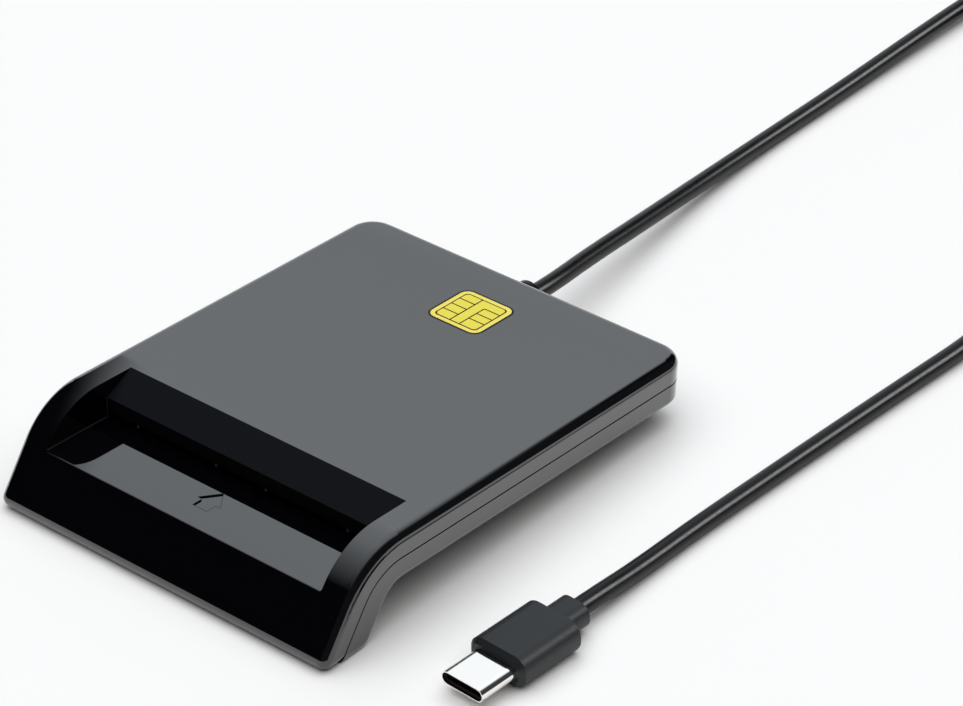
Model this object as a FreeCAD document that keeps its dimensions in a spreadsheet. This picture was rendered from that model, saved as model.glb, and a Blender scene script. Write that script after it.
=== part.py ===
import FreeCAD, Part
import Sketcher
import math
import os
import re

# Desktop smart card reader: a level-topped slab that bends down into a front foot, with a card mouth in the bend.
# The reader is drawn square to its slab, with the toe of the foot as origin, and then tilted onto the desk.

Vector = FreeCAD.Vector
doc = FreeCAD.newDocument("smart_card_reader")
sheet = doc.addObject("Spreadsheet::Sheet", "Sizes")

SIZES = [
    ("body_width", 68.3, "reader from side to side"),
    ("body_length", 90.4, "toe of the foot to the rear face"),
    ("top_height", 17.12, "toe of the foot to the top face"),
    ("slab_thickness", 8.2, "top face to underside"),
    ("front_angle", 57.0, "front face to the slab, degrees"),
    ("leg_thickness", 9.3, "front face to the back of the foot"),
    ("bend_radius", 14.0, "outer bend between top and front"),
    ("under_bend_radius", 5.0, "inner bend behind the foot"),
    ("tilt", 3.2, "slab to the desk, degrees"),
    ("corner_radius", 5.0, "rear corners seen from above"),
    ("edge_radius", 1.7, "rim of the top face"),
    ("under_edge_radius", 1.1, "rim of the underside"),
    ("toe_radius", 1.75, "front edge of the foot"),
    ("heel_radius", 2.2, "rear edge of the foot"),
    ("seam_depth", 4.1, "outer face to the parting line"),
    ("seam_gap", 0.25, "shadow gap at the parting line"),
    ("wall", 1.6, "housing wall"),
    ("floor_wall", 0.9, "floor of the lower shell"),
    ("mouth_width", 57.4, "card mouth from cheek to cheek"),
    ("mouth_rear", 26.1, "toe to the rear edge of the mouth"),
    ("chamfer_run", 5.5, "depth of the sloped face of the mouth"),
    ("chamfer_drop", 3.1, "fall of the sloped face of the mouth"),
    ("chamfer_back", 3.2, "stock behind the sloped face"),
    ("shelf_depth", 6.7, "top face to the card shelf"),
    ("slot_height", 1.2, "card slot"),
    ("tray_gap", 0.2, "shelf edge to cheek"),
    ("tray_tail", 4.0, "shelf behind the mouth"),
    ("lip_radius", 0.3, "front edge of the shelf"),
    ("guide_width", 0.7, "lead-in rib of the slot"),
    ("guide_drop", 0.2, "lead-in rib below the slot edge"),
    ("guide_inner", 5.2, "inner lead-in ribs from the middle"),
    ("guide_outer", 22.3, "outer lead-in ribs from the middle"),
    ("card_thickness", 0.76, "identity card"),
    ("card_stop_gap", 7.0, "rear face to a seated card"),
    ("stop_thickness", 1.5, "card stop"),
    ("stop_place", 18.0, "card stop from the middle"),
    ("stop_width", 4.0, "card stop"),
    ("stop_height", 2.4, "card stop above the floor"),
    ("rail_width", 1.0, "card rail"),
    ("rail_inner", 9.0, "inner card rail from the middle"),
    ("rail_outer", 23.0, "outer card rail from the middle"),
    ("tongue_height", 1.0, "locating tongue above the parting line"),
    ("tongue_thickness", 0.8, "locating tongue"),
    ("tongue_clearance", 0.1, "tongue to the upper wall"),
    ("boss_radius", 1.9, "screw boss"),
    ("boss_inset", 4.5, "side to the screw bosses"),
    ("boss_front_gap", 8.1, "mouth to the front bosses"),
    ("boss_rear_gap", 12.0, "rear face to the rear bosses"),
    ("boss_meet", 1.8, "floor to the joint of the bosses"),
    ("screw_radius", 0.95, "housing screw shank"),
    ("screw_length", 5.0, "housing screw shank"),
    ("screw_head_radius", 1.6, "housing screw head"),
    ("screw_head_height", 0.7, "housing screw head"),
    ("screw_clearance", 0.1, "screw to its hole"),
    ("head_recess", 0.15, "head below the underside"),
    ("drive_radius", 0.7, "cross recess of a screw head"),
    ("drive_depth", 0.5, "cross recess of a screw head"),
    ("drive_width", 0.4, "cross recess of a screw head"),
    ("foot_radius", 4.0, "rear rubber foot"),
    ("foot_inset", 12.0, "side to the rear rubber feet"),
    ("foot_rear_gap", 9.0, "rear face to the rear rubber feet"),
    ("foot_recess", 0.5, "rubber foot let into the underside"),
    ("foot_clearance", 0.15, "rubber foot to its recess"),
    ("board_gap", 2.6, "screw bosses to the board"),
    ("board_rear_gap", 9.0, "rear face to the board"),
    ("board_length", 31.0, "circuit board"),
    ("board_thickness", 1.0, "circuit board"),
    ("board_drop", 1.3, "top wall to the board"),
    ("post_radius", 1.6, "board post"),
    ("post_inset", 3.0, "board edge to its posts"),
    ("board_screw_radius", 0.6, "board screw shank"),
    ("board_screw_length", 1.8, "board screw shank"),
    ("board_screw_head", 1.2, "board screw head radius"),
    ("board_screw_rise", 0.7, "board screw head"),
    ("contact_offset", 3.1, "contact field from the middle"),
    ("contact_reach", 15.1, "card end to the middle of its contacts"),
    ("contact_pitch", 2.54, "contacts side by side"),
    ("contact_rows", 7.62, "row to row"),
    ("block_width", 13.0, "contact block"),
    ("block_length", 14.0, "contact block"),
    ("block_height", 1.6, "contact block"),
    ("spring_width", 0.8, "contact spring"),
    ("spring_sheet", 0.15, "contact spring"),
    ("spring_length", 4.4, "contact spring"),
    ("spring_reach", 0.3, "spring below the card face"),
    ("spring_clearance", 0.1, "spring to its slot"),
    ("chip_side", 5.0, "controller chip"),
    ("chip_height", 0.9, "controller chip"),
    ("chip_place", 9.0, "controller chip from the middle"),
    ("chip_front", 8.0, "board edge to the chip"),
    ("crystal_length", 3.2, "crystal can"),
    ("crystal_width", 2.5, "crystal can"),
    ("crystal_height", 0.7, "crystal can"),
    ("crystal_gap", 1.2, "chip to crystal"),
    ("part_length", 1.6, "small capacitor"),
    ("part_width", 0.8, "small capacitor"),
    ("part_pitch", 2.2, "small capacitors side by side"),
    ("part_gap", 1.0, "chip to capacitors"),
    ("part_count", 6, "small capacitors"),
    ("switch_length", 4.0, "card switch"),
    ("switch_width", 3.0, "card switch"),
    ("switch_height", 1.4, "card switch"),
    ("switch_place", 14.0, "card switch from the middle"),
    ("switch_rear", 1.5, "board rear edge to the switch"),
    ("blade_width", 1.2, "card switch blade"),
    ("blade_sheet", 0.2, "card switch blade"),
    ("blade_reach", 0.4, "blade below the card face"),
    ("exit_depth", 3.7, "top face to the cord"),
    ("relief_flange_radius", 2.0, "strain relief inside the wall"),
    ("relief_flange", 1.6, "strain relief inside the wall"),
    ("relief_neck_radius", 1.7, "strain relief in the wall"),
    ("relief_collar_radius", 3.0, "strain relief behind the wall"),
    ("relief_collar", 0.9, "straight part behind the wall"),
    ("relief_taper", 0.9, "tapered part behind the wall"),
    ("relief_end_radius", 2.0, "strain relief at the cord"),
    ("relief_clearance", 0.15, "strain relief to the wall"),
    ("wire_radius", 0.4, "inner wire"),
    ("wire_pitch", 0.85, "inner wires side by side"),
    ("wire_lap", 2.6, "inner wire on the board"),
    ("wire_clearance", 0.05, "inner wire to the board"),
    ("cord_diameter", 3.2, "cord"),
    ("coil_radius", 17.6, "coil at the middle of its turns"),
    ("coil_band", 9.8, "coil ring from inside to outside"),
    ("coil_height", 6.7, "coil ring"),
    ("coil_bevel", 1.0, "bevelled rim of the coil"),
    ("coil_lead", 15.0, "straight lead of the coil"),
    ("coil_run", 18.0, "straight run of the cord at the coil"),
    ("cord_lead", 5.0, "straight run of the cord at the reader and the plug"),
    ("tie_width", 5.0, "coil tie"),
    ("tie_sheet", 0.6, "coil tie"),
    ("tie_clearance", 0.15, "coil tie to the coil"),
    ("plug_width", 11.0, "plug grip"),
    ("plug_height", 5.6, "plug grip"),
    ("plug_length", 13.35, "plug grip"),
    ("plug_round", 2.4, "long edges of the grip"),
    ("plug_rim", 0.8, "front rim of the grip"),
    ("plug_rear_rim", 0.5, "rear rim of the grip"),
    ("neck_width", 6.0, "plug neck"),
    ("neck_height", 4.4, "plug neck"),
    ("neck_length", 4.5, "plug neck"),
    ("neck_round", 2.0, "long edges of the neck"),
    ("shell_width", 8.25, "plug shell"),
    ("shell_height", 2.4, "plug shell"),
    ("shell_length", 7.15, "plug shell in front of the grip"),
    ("shell_seat", 1.5, "plug shell inside the grip"),
    ("shell_sheet", 0.18, "plug shell"),
    ("shell_clearance", 0.05, "plug shell to its neighbours"),
    ("insert_recess", 0.35, "insert behind the plug mouth"),
    ("insert_slot_width", 6.7, "slot of the insert"),
    ("insert_slot_height", 0.8, "slot of the insert"),
    ("insert_slot_depth", 5.0, "slot of the insert"),
    ("pin_count", 12, "pins in each row of the plug"),
    ("pin_pitch", 0.5, "pins of the plug side by side"),
    ("pin_width", 0.25, "pin of the plug"),
    ("pin_sheet", 0.12, "pin of the plug"),
    ("pin_length", 3.6, "pin of the plug"),
    ("pin_start", 1.0, "plug mouth to its pins"),
    ("plug_side", 53.56, "plug mouth to the right of the origin"),
    ("plug_front", 37.28, "plug mouth in front of the origin"),
    ("plug_turn", 3.1, "plug to the length of the reader, degrees"),
    ("coil_side", 14.61, "coil to the right of the origin"),
    ("coil_back", 205.17, "coil behind the origin"),
]

for row, (alias, value, meaning) in enumerate(SIZES, start=1):
    sheet.set(f"A{row}", meaning)
    sheet.set(f"B{row}", str(value))
    sheet.setAlias(f"B{row}", alias)
doc.recompute()

ALIASES = {alias for alias, value, meaning in SIZES}


def bind(text):
    """Points the size names of an expression at the sheet."""
    return re.sub(r"[a-z_]+", lambda word: "Sizes." + word[0] if word[0] in ALIASES else word[0], text)


gauge = doc.addObject("App::FeaturePython", "Gauge")
gauge.addProperty("App::PropertyFloat", "Reading")


def size(text):
    """Value of an expression of size names."""
    gauge.setExpression("Reading", bind(text))
    gauge.recompute()
    return gauge.Reading


def leg_line(depth, height):
    """Distance from the toe, at a height, of the line that runs a depth behind the front face."""
    return f"(({height})/tan(front_angle) + ({depth})/sin(front_angle))"


def leg_foot(depth):
    """Corner where the line a depth behind the front face meets the desk."""
    run = f"(({depth})/sin(front_angle)/(1 - tan(tilt)/tan(front_angle)))"
    return run, f"{run}*tan(tilt)"


# Heights and lines that several pieces share
SEAM = "(top_height - seam_depth)"
LOWER_SEAM = "(top_height - seam_depth - seam_gap)"
UNDERSIDE = "(top_height - slab_thickness)"
FLOOR = "(top_height - slab_thickness + floor_wall)"
SHELF = "(top_height - shelf_depth)"
SLOT_TOP = "(top_height - shelf_depth + slot_height)"
CEILING = "(top_height - wall)"
MOUTH_WALL = "(mouth_rear - chamfer_run)"
CAVITY_FRONT = "(mouth_rear - chamfer_run + wall)"
CAVITY_REAR = "(body_length - wall)"
BOARD_TOP = "(top_height - wall - board_drop)"
BOARD_UNDER = "(top_height - wall - board_drop - board_thickness)"
BOARD_REAR = "(body_length - board_rear_gap)"
BOARD_FRONT = "(body_length - board_rear_gap - board_length)"
BOARD_HALF = "(body_width/2 - boss_inset - boss_radius - board_gap)"
POST_SIDE = f"({BOARD_HALF} - post_inset)"
POST_PLACES = (f"{BOARD_FRONT} + post_inset", f"{BOARD_REAR} - post_inset")
CARD_FACE = "(top_height - shelf_depth + card_thickness)"
EXIT = "(top_height - exit_depth)"
CARD_STOP = "(body_length - card_stop_gap)"
BOSS_SIDE = "(body_width/2 - boss_inset)"
BOSS_PLACES = ("mouth_rear + boss_front_gap", "body_length - boss_rear_gap")
FOOT_SIDE = "(body_width/2 - foot_inset)"
FOOT_REAR = "(body_length - foot_rear_gap)"
BOSS_JOINT = "(top_height - slab_thickness + floor_wall + boss_meet)"


def new_body(label):
    body = doc.addObject("PartDesign::Body", label)
    body.Label = label
    return body


def new_sketch(body, name, role, lift=None, rise=None):
    """Sketch on one of the body's own planes, moved along its normal or up its own vertical."""
    sketch = body.newObject("Sketcher::SketchObject", name)
    plane = next(item for item in body.Origin.OriginFeatures if item.Role == role)
    sketch.AttachmentSupport = [(plane, "")]
    sketch.MapMode = "FlatFace"
    if lift:
        sketch.setExpression("AttachmentOffset.Base.z", bind(lift))
    if rise:
        sketch.setExpression("AttachmentOffset.Base.y", bind(rise))
    return sketch


def pin_point(sketch, geometry, vertex, across, upward):
    """Fixes a point of a sketch at two expressions, where 0 puts it on an axis."""
    for kind, axis, text in (("DistanceX", -2, across), ("DistanceY", -1, upward)):
        if text == "0":
            sketch.addConstraint(Sketcher.Constraint("PointOnObject", geometry, vertex, axis))
        else:
            row = sketch.addConstraint(Sketcher.Constraint(kind, -1, 1, geometry, vertex, size(text)))
            sketch.setExpression(f"Constraints[{row}]", bind(text))


def polygon(sketch, corners):
    """Closed outline through corners that are pairs of expressions."""
    points = [Vector(size(across), size(upward), 0) for across, upward in corners]
    first = sketch.GeometryCount
    count = len(points)
    for index in range(count):
        sketch.addGeometry(Part.LineSegment(points[index], points[(index + 1) % count]), False)
    for index in range(count):
        after = first + (index + 1) % count
        sketch.addConstraint(Sketcher.Constraint("Coincident", first + index, 2, after, 1))
    for index, (across, upward) in enumerate(corners):
        pin_point(sketch, first + index, 1, across, upward)


def rectangle(sketch, left, right, low, high):
    polygon(sketch, [(left, low), (right, low), (right, high), (left, high)])


def circle(sketch, across, upward, radius):
    place = Vector(size(across), size(upward), 0)
    row = sketch.addGeometry(Part.Circle(place, Vector(0, 0, 1), size(radius)), False)
    pin_point(sketch, row, 3, across, upward)
    limit = sketch.addConstraint(Sketcher.Constraint("Radius", row, size(radius)))
    sketch.setExpression(f"Constraints[{limit}]", bind(radius))


def solid(body, kind, sketch, length, symmetric=False, backwards=False):
    """Pad or Pocket of a sketch, checked to have changed the body."""
    before = body.Shape.Volume if body.Tip else 0.0
    feature = body.newObject("PartDesign::" + kind, sketch.Name + kind)
    feature.Profile = sketch
    feature.SideType = "Symmetric" if symmetric else "One side"
    feature.Reversed = backwards
    feature.setExpression("Length", bind(length))
    doc.recompute()
    change = body.Shape.Volume - before
    if (change <= 0) if kind == "Pad" else (change >= 0):
        raise RuntimeError(f"{feature.Name} changes nothing")
    return feature


def mirror(body, features):
    """Copies features to the other side of the middle plane."""
    copy = body.newObject("PartDesign::Mirrored", features[-1].Name + "Mirror")
    copy.Originals = features
    plane = next(item for item in body.Origin.OriginFeatures if item.Role == "YZ_Plane")
    copy.MirrorPlane = (plane, [""])
    body.Tip = copy
    doc.recompute()
    return copy


def near(value, target):
    return abs(value - target) < 0.02


def across_edge(y, z):
    """Test for a straight edge that runs from side to side at a place."""
    def test(edge):
        box = edge.BoundBox
        long_enough = box.XLength > 1 and box.YLength < 0.01 and box.ZLength < 0.01
        return long_enough and near(box.YMin, size(y)) and near(box.ZMin, size(z))
    return test


def upright_edge(x, y):
    """Test for an upright edge at a distance from the middle and from the toe."""
    def test(edge):
        box = edge.BoundBox
        upright = box.ZLength > 0.5 and box.XLength < 0.01 and box.YLength < 0.01
        return upright and near(abs(box.XMin), size(x)) and near(box.YMin, size(y))
    return test


def along_edge(x, z):
    """Test for an edge that runs along the length at a distance from the middle and a height."""
    def test(edge):
        box = edge.BoundBox
        along = box.YLength > 0.5 and box.XLength < 0.01 and box.ZLength < 0.01
        return along and near(abs(box.XMin), size(x)) and near(box.ZMin, size(z))
    return test


def dress_edges(body, kind, measure, amount, test):
    """Fillet or chamfer of the edges that pass a test."""
    base = body.Tip
    names = [f"Edge{index}" for index, edge in enumerate(base.Shape.Edges, start=1) if test(edge)]
    if not names:
        raise RuntimeError(f"no edge to dress on {base.Name}")
    dressing = body.newObject("PartDesign::" + kind, base.Name + kind)
    dressing.Base = (base, names)
    dressing.setExpression(measure, bind(amount))
    doc.recompute()
    return dressing


def round_edges(body, radius, test):
    return dress_edges(body, "Fillet", "Radius", radius, test)


def bevel_edges(body, depth, test):
    return dress_edges(body, "Chamfer", "Size", depth, test)


def box_piece(label, length, width, height, x, y, z):
    """Plain block with sizes bound to the sheet, at a place in the reader."""
    block = doc.addObject("Part::Box", label)
    block.Label = label
    for name, text in (("Length", length), ("Width", width), ("Height", height)):
        block.setExpression(name, bind(text))
    block.Placement.Base = Vector(size(x), size(y), size(z))
    return block


def group_piece(label, shapes):
    """Group of separate solids in one node."""
    group = doc.addObject("Part::Feature", label)
    group.Label = label
    group.Shape = Part.makeCompound(shapes)
    return group


def block_at(low, length, width, height):
    return Part.makeBox(length, width, height, Vector(*low))


def rod(radius, length, start, direction=Vector(0, 0, 1)):
    return Part.makeCylinder(radius, length, start, direction)


def half_cavity(sketch, front):
    """Right half of the inner room, with its rear corner cut to clear the rounded outer corner."""
    side = "(body_width/2 - wall)"
    cut = "(corner_radius - wall)*(2 - sqrt(2))"
    polygon(sketch, [
        ("0", front),
        (side, front),
        (side, f"{CAVITY_REAR} - {cut}"),
        (f"{side} - {cut}", CAVITY_REAR),
        ("0", CAVITY_REAR),
    ])


def make_upper_shell():
    """Cover: top, front face, cheeks of the mouth and the wall over the card slot."""
    body = new_body("upper_shell")
    outline = new_sketch(body, "UpperOutline", "YZ_Plane")
    polygon(outline, [
        ("0", "0"),
        (leg_line("0", "top_height"), "top_height"),
        ("body_length", "top_height"),
        ("body_length", SEAM),
        (leg_line("seam_depth", SEAM), SEAM),
        leg_foot("seam_depth"),
    ])
    solid(body, "Pad", outline, "body_width", symmetric=True)
    round_edges(body, "bend_radius", across_edge(leg_line("0", "top_height"), "top_height"))
    round_edges(body, "bend_radius - seam_depth", across_edge(leg_line("seam_depth", SEAM), SEAM))
    round_edges(body, "corner_radius", upright_edge("body_width/2", "body_length"))
    round_edges(body, "toe_radius", across_edge("0", "0"))
    round_edges(body, "edge_radius", across_edge("body_length", "top_height"))

    mouth = new_sketch(body, "UpperMouth", "YZ_Plane")
    polygon(mouth, [
        ("mouth_rear", "top_height"),
        ("mouth_rear", "top_height + wall"),
        ("0", "top_height + wall"),
        ("0", FLOOR),
        (MOUTH_WALL, FLOOR),
        (MOUTH_WALL, "top_height - chamfer_drop"),
    ])
    solid(body, "Pocket", mouth, "mouth_width", symmetric=True)

    slope = new_sketch(body, "UpperCavityFront", "YZ_Plane")
    polygon(slope, [
        (CAVITY_FRONT, f"{SEAM} - wall"),
        (CAVITY_FRONT, "top_height - chamfer_drop - (chamfer_back - wall)*chamfer_drop/chamfer_run"),
        ("mouth_rear + chamfer_back - wall*chamfer_run/chamfer_drop", CEILING),
        ("body_length/2", CEILING),
        ("body_length/2", f"{SEAM} - wall"),
    ])
    solid(body, "Pocket", slope, "body_width - 2*wall", symmetric=True)
    cavity = new_sketch(body, "UpperCavity", "XY_Plane", lift=CEILING)
    half_cavity(cavity, "body_length/2")
    mirror(body, [solid(body, "Pocket", cavity, f"{CEILING} - {SEAM}")])

    skirt = new_sketch(body, "SlotWall", "YZ_Plane")
    rectangle(skirt, MOUTH_WALL, CAVITY_FRONT, SLOT_TOP, f"{SEAM}")
    solid(body, "Pad", skirt, "mouth_width - 2*tray_gap", symmetric=True)

    guides = new_sketch(body, "SlotGuides", "XY_Plane", lift=SLOT_TOP)
    for place in ("guide_inner", "guide_outer"):
        rectangle(guides, f"{place} - guide_width/2", f"{place} + guide_width/2", MOUTH_WALL, CAVITY_FRONT)
    mirror(body, [solid(body, "Pad", guides, "guide_drop", backwards=True)])

    bosses = new_sketch(body, "UpperBosses", "XY_Plane", lift=BOSS_JOINT)
    for place in BOSS_PLACES:
        circle(bosses, BOSS_SIDE, place, "boss_radius")
    posts = new_sketch(body, "BoardPosts", "XY_Plane", lift=BOARD_TOP)
    for place in POST_PLACES:
        circle(posts, POST_SIDE, place, "post_radius")
    mirror(body, [
        solid(body, "Pad", bosses, f"{CEILING} - {BOSS_JOINT}"),
        solid(body, "Pad", posts, "board_drop"),
    ])

    pilots = new_sketch(body, "UpperPilots", "XY_Plane", lift=BOSS_JOINT)
    for place in BOSS_PLACES:
        circle(pilots, BOSS_SIDE, place, "screw_radius")
    post_pilots = new_sketch(body, "PostPilots", "XY_Plane", lift=BOARD_TOP)
    for place in POST_PLACES:
        circle(post_pilots, POST_SIDE, place, "board_screw_radius")
    mirror(body, [
        solid(body, "Pocket", pilots, "screw_length - boss_meet", backwards=True),
        solid(body, "Pocket", post_pilots, "board_screw_length - board_thickness", backwards=True),
    ])

    exit_hole = new_sketch(body, "UpperExit", "XZ_Plane", lift="-body_length - wall")
    circle(exit_hole, "0", EXIT, "relief_neck_radius + relief_clearance")
    solid(body, "Pocket", exit_hole, "3*wall", backwards=True)
    return body


def make_lower_shell():
    """Base: floor, back of the foot, card rails and stops, screw seats and recesses for the rubber feet."""
    body = new_body("lower_shell")
    outline = new_sketch(body, "LowerOutline", "YZ_Plane")
    layer = "seam_depth + seam_gap"
    polygon(outline, [
        leg_foot(layer),
        (leg_line(layer, LOWER_SEAM), LOWER_SEAM),
        ("body_length", LOWER_SEAM),
        ("body_length", UNDERSIDE),
        (leg_line("leg_thickness", UNDERSIDE), UNDERSIDE),
        leg_foot("leg_thickness"),
    ])
    solid(body, "Pad", outline, "body_width", symmetric=True)
    round_edges(body, f"bend_radius - ({layer})", across_edge(leg_line(layer, LOWER_SEAM), LOWER_SEAM))
    round_edges(body, "under_bend_radius", across_edge(leg_line("leg_thickness", UNDERSIDE), UNDERSIDE))
    round_edges(body, "corner_radius", upright_edge("body_width/2", "body_length"))
    heel = leg_foot("leg_thickness")
    round_edges(body, "heel_radius", across_edge(heel[0], heel[1]))
    round_edges(body, "under_edge_radius", across_edge("body_length", UNDERSIDE))

    cavity = new_sketch(body, "LowerCavity", "XY_Plane", lift=LOWER_SEAM)
    half_cavity(cavity, CAVITY_FRONT)
    mirror(body, [solid(body, "Pocket", cavity, f"{LOWER_SEAM} - {FLOOR}")])

    channel = new_sketch(body, "LowerMouth", "YZ_Plane")
    rectangle(channel, "0", f"{CAVITY_FRONT} + wall", FLOOR, f"{SEAM} + wall")
    solid(body, "Pocket", channel, "mouth_width", symmetric=True)

    outer = "body_width/2 - wall - tongue_clearance"
    root = new_sketch(body, "TongueRoot", "XY_Plane", lift=FLOOR)
    rectangle(root, f"{outer} - tongue_thickness", "body_width/2 - wall", *BOSS_PLACES)
    tongue = new_sketch(body, "Tongue", "XY_Plane", lift=LOWER_SEAM)
    rectangle(tongue, f"{outer} - tongue_thickness", outer, *BOSS_PLACES)
    rail = new_sketch(body, "CardRails", "XY_Plane", lift=FLOOR)
    for place in ("rail_inner", "rail_outer"):
        rectangle(rail, f"{place} - rail_width/2", f"{place} + rail_width/2",
                  "mouth_rear + tray_tail + tray_gap", CARD_STOP)
    stop = new_sketch(body, "CardStops", "XY_Plane", lift=FLOOR)
    rectangle(stop, "stop_place - stop_width/2", "stop_place + stop_width/2",
              CARD_STOP, f"{CARD_STOP} + stop_thickness")
    seat = new_sketch(body, "LowerBosses", "XY_Plane", lift=FLOOR)
    for place in BOSS_PLACES:
        circle(seat, BOSS_SIDE, place, "boss_radius")
    mirror(body, [
        solid(body, "Pad", root, f"{LOWER_SEAM} - {FLOOR}"),
        solid(body, "Pad", tongue, "seam_gap + tongue_height"),
        solid(body, "Pad", rail, f"{SHELF} - {FLOOR}"),
        solid(body, "Pad", stop, "stop_height"),
        solid(body, "Pad", seat, "boss_meet"),
    ])

    hole = new_sketch(body, "ScrewHoles", "XY_Plane", lift=UNDERSIDE)
    for place in BOSS_PLACES:
        circle(hole, BOSS_SIDE, place, "screw_radius + screw_clearance")
    counterbore = new_sketch(body, "HeadSeats", "XY_Plane", lift=UNDERSIDE)
    for place in BOSS_PLACES:
        circle(counterbore, BOSS_SIDE, place, "screw_head_radius + screw_clearance")
    recess = new_sketch(body, "FootRecesses", "XY_Plane", lift=UNDERSIDE)
    circle(recess, FOOT_SIDE, FOOT_REAR, "foot_radius + foot_clearance")
    mirror(body, [
        solid(body, "Pocket", hole, "floor_wall + boss_meet", backwards=True),
        solid(body, "Pocket", counterbore, "screw_head_height + head_recess", backwards=True),
        solid(body, "Pocket", recess, "foot_recess", backwards=True),
    ])

    exit_hole = new_sketch(body, "LowerExit", "XZ_Plane", lift="-body_length - wall")
    circle(exit_hole, "0", EXIT, "relief_neck_radius + relief_clearance")
    solid(body, "Pocket", exit_hole, "3*wall", backwards=True)
    return body


def make_card_tray():
    """Flat shelf on which the card slides into the slot, cut at its front to the slope of the front face."""
    body = new_body("card_tray")
    outline = new_sketch(body, "TrayOutline", "YZ_Plane")
    polygon(outline, [
        (leg_line("0", FLOOR), FLOOR),
        ("mouth_rear + tray_tail", FLOOR),
        ("mouth_rear + tray_tail", SHELF),
        (leg_line("0", SHELF), SHELF),
    ])
    solid(body, "Pad", outline, "mouth_width - 2*tray_gap", symmetric=True)
    round_edges(body, "lip_radius", across_edge(leg_line("0", SHELF), SHELF))
    return body


def make_circuit_board():
    """Board that hangs under the cover on four posts."""
    body = new_body("circuit_board")
    outline = new_sketch(body, "BoardOutline", "YZ_Plane")
    rectangle(outline, BOARD_FRONT, BOARD_REAR, BOARD_UNDER, BOARD_TOP)
    solid(body, "Pad", outline, f"2*{BOARD_HALF}", symmetric=True)
    holes = new_sketch(body, "BoardHoles", "XY_Plane", lift=BOARD_UNDER)
    for place in POST_PLACES:
        circle(holes, POST_SIDE, place, "board_screw_radius + screw_clearance")
    mirror(body, [solid(body, "Pocket", holes, "board_thickness", backwards=True)])
    return body


def make_strain_relief():
    """Turned bush that holds the cord in the rear wall."""
    body = new_body("strain_relief")
    outline = new_sketch(body, "ReliefOutline", "YZ_Plane", rise=EXIT)
    inner = f"({CAVITY_REAR} - relief_clearance)"
    outer = "(body_length + relief_clearance)"
    polygon(outline, [
        (f"{inner} - relief_flange", "0"),
        (f"{inner} - relief_flange", "relief_flange_radius"),
        (inner, "relief_flange_radius"),
        (inner, "relief_neck_radius"),
        (outer, "relief_neck_radius"),
        (outer, "relief_collar_radius"),
        (f"{outer} + relief_collar", "relief_collar_radius"),
        (f"{outer} + relief_collar + relief_taper", "relief_end_radius"),
        (f"{outer} + relief_collar + relief_taper", "0"),
    ])
    turned = body.newObject("PartDesign::Revolution", "ReliefTurned")
    turned.Profile = outline
    turned.ReferenceAxis = (outline, ["H_Axis"])
    turned.Angle = 360
    doc.recompute()
    return body


def screw(radius, length, head_radius, head_height, seat):
    """Pan head screw that points up, with a cross recess, its head under the seat point."""
    shank = rod(radius, length, seat)
    head = rod(head_radius, head_height, seat - Vector(0, 0, head_height))
    made = shank.fuse(head)
    reach = min(size("drive_radius"), 0.6 * head_radius)
    half = size("drive_width") / 2
    depth = min(size("drive_depth"), 0.5 * head_height)
    low = seat.z - head_height
    made = made.cut(block_at((seat.x - reach, seat.y - half, low), 2 * reach, 2 * half, depth))
    return made.cut(block_at((seat.x - half, seat.y - reach, low), 2 * half, 2 * reach, depth))


def make_screws():
    """Four housing screws from below and four board screws under the board."""
    seat_height = size(f"{UNDERSIDE} + screw_head_height + head_recess")
    housing = [
        screw(size("screw_radius"), size("screw_length - screw_clearance"), size("screw_head_radius"),
              size("screw_head_height"), Vector(side * size(BOSS_SIDE), size(place), seat_height))
        for side in (-1, 1) for place in BOSS_PLACES
    ]
    board = [
        screw(size("board_screw_radius"), size("board_screw_length - screw_clearance"), size("board_screw_head"),
              size("board_screw_rise"), Vector(side * size(POST_SIDE), size(place), size(BOARD_UNDER)))
        for side in (-1, 1) for place in POST_PLACES
    ]
    return [group_piece("housing_screws", housing), group_piece("board_screws", board)]


def make_rear_feet():
    """Rubber feet let into the underside and ended flat on the desk."""
    top = size(f"{UNDERSIDE} + foot_recess")
    reach = size("body_length")
    desk = block_at((-reach, -reach, -reach), 2 * reach, 3 * reach, reach)
    desk.rotate(Vector(), Vector(1, 0, 0), size("tilt"))
    feet = []
    for side in (-1, 1):
        place = Vector(side * size(FOOT_SIDE), size(FOOT_REAR), 0)
        feet.append(rod(size("foot_radius"), top, place).cut(desk))
    return group_piece("rear_feet", feet)


def spring_at(x, y, outward):
    """Bent contact strip that hangs out of its slot and presses on the card."""
    roof = size(BOARD_UNDER)
    tip = size(f"{CARD_FACE} - spring_reach")
    reach = size("spring_length")
    sheet_thickness = size("spring_sheet")
    knee = reach * 0.25
    line = [(0, roof), (0, roof - sheet_thickness), (knee, roof - sheet_thickness), (reach * 0.72, tip),
            (reach * 0.82, tip), (reach, roof - 4 * sheet_thickness), (reach, roof - 3 * sheet_thickness),
            (reach * 0.8, tip + sheet_thickness), (reach * 0.74, tip + sheet_thickness), (knee * 1.1, roof)]
    half = size("spring_width") / 2
    start = y - outward * reach * 0.77
    points = [Vector(x - half, start + outward * run, height) for run, height in line]
    face = Part.Face(Part.makePolygon(points + points[:1]))
    return face.extrude(Vector(2 * half, 0, 0))


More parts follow.
